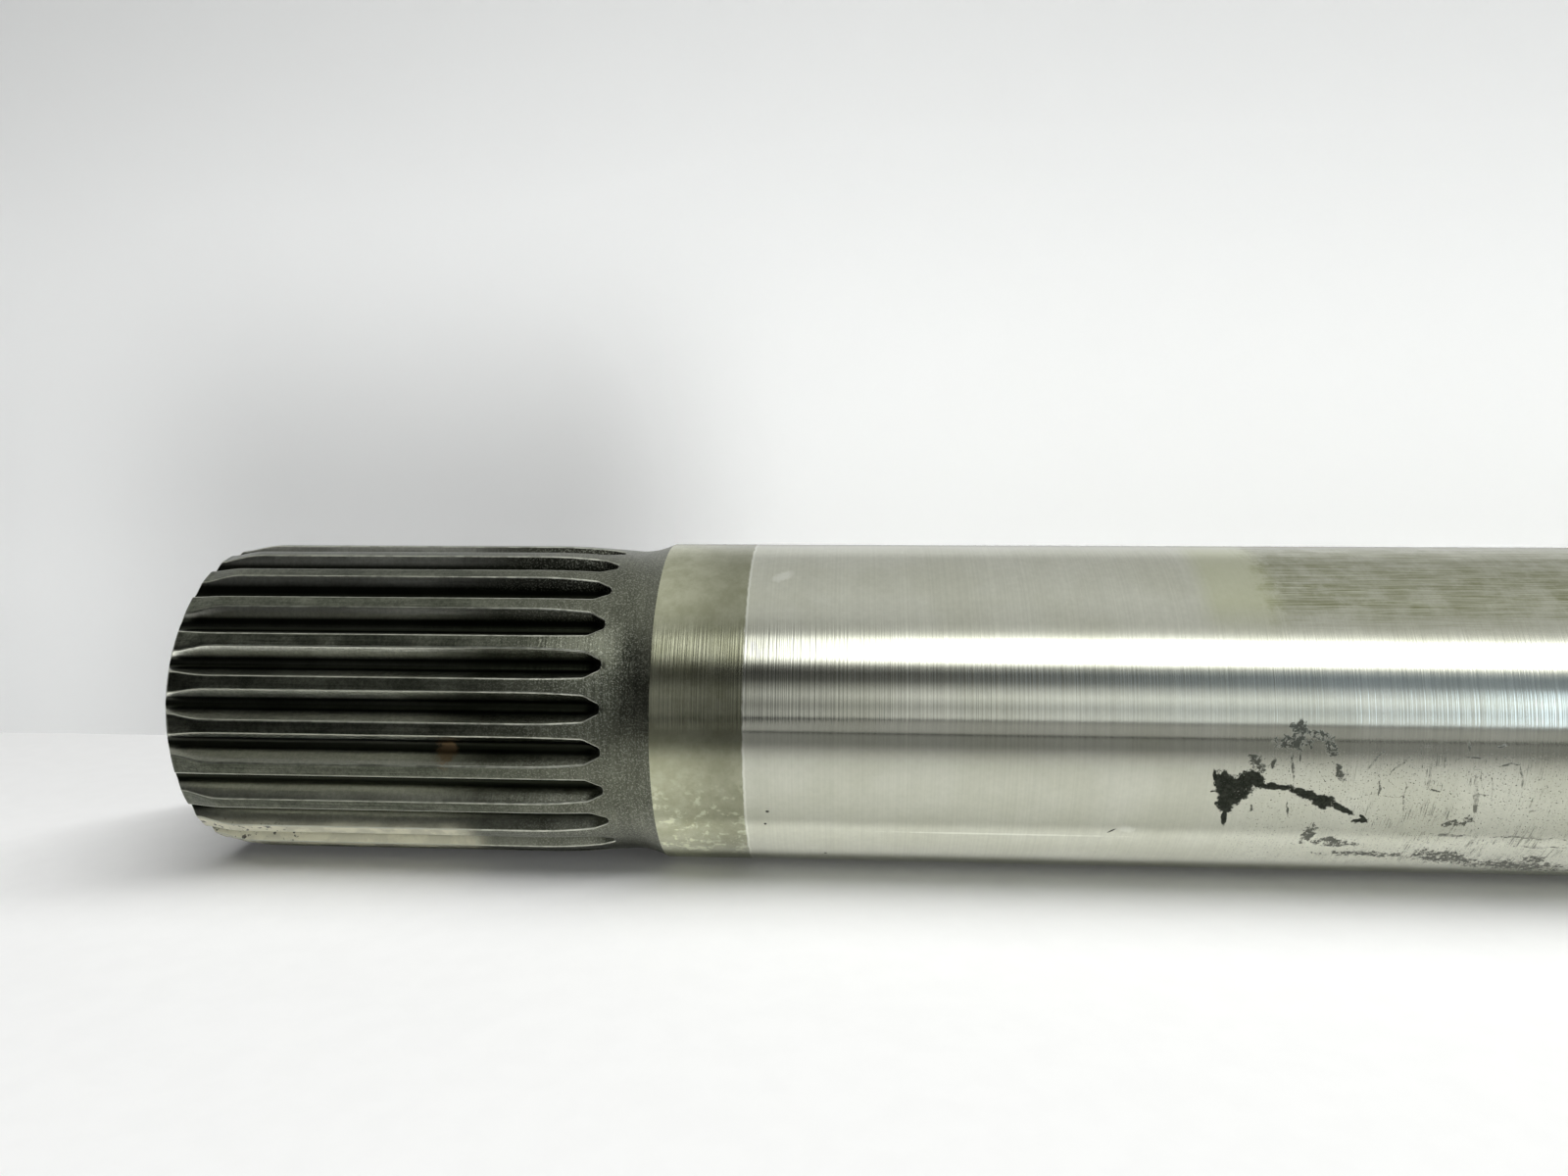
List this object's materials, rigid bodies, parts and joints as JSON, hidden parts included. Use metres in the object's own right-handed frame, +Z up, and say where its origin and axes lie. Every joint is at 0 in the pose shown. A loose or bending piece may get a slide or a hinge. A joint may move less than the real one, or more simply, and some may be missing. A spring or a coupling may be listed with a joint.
{
  "type": "transmission input shaft",
  "caption": "Solid transmission input shaft with a long ground journal and an involute spline, relief neck, lead-in and centre hole at each end.",
  "frame": {"origin": "on the shaft's axis, in the middle of the journal, which is also the middle of the shaft", "axes": "+X along the shaft from the front spline to the rear spline, +Z up, with a tooth of each spline at the top"},
  "size_m": [0.3302, 0.0381, 0.038],
  "materials": {
    "steel": "ground journal, dark oxidised teeth"
  },
  "bodies": {
    "root": {"input_shaft": "steel"}
  },
  "joints": []
}
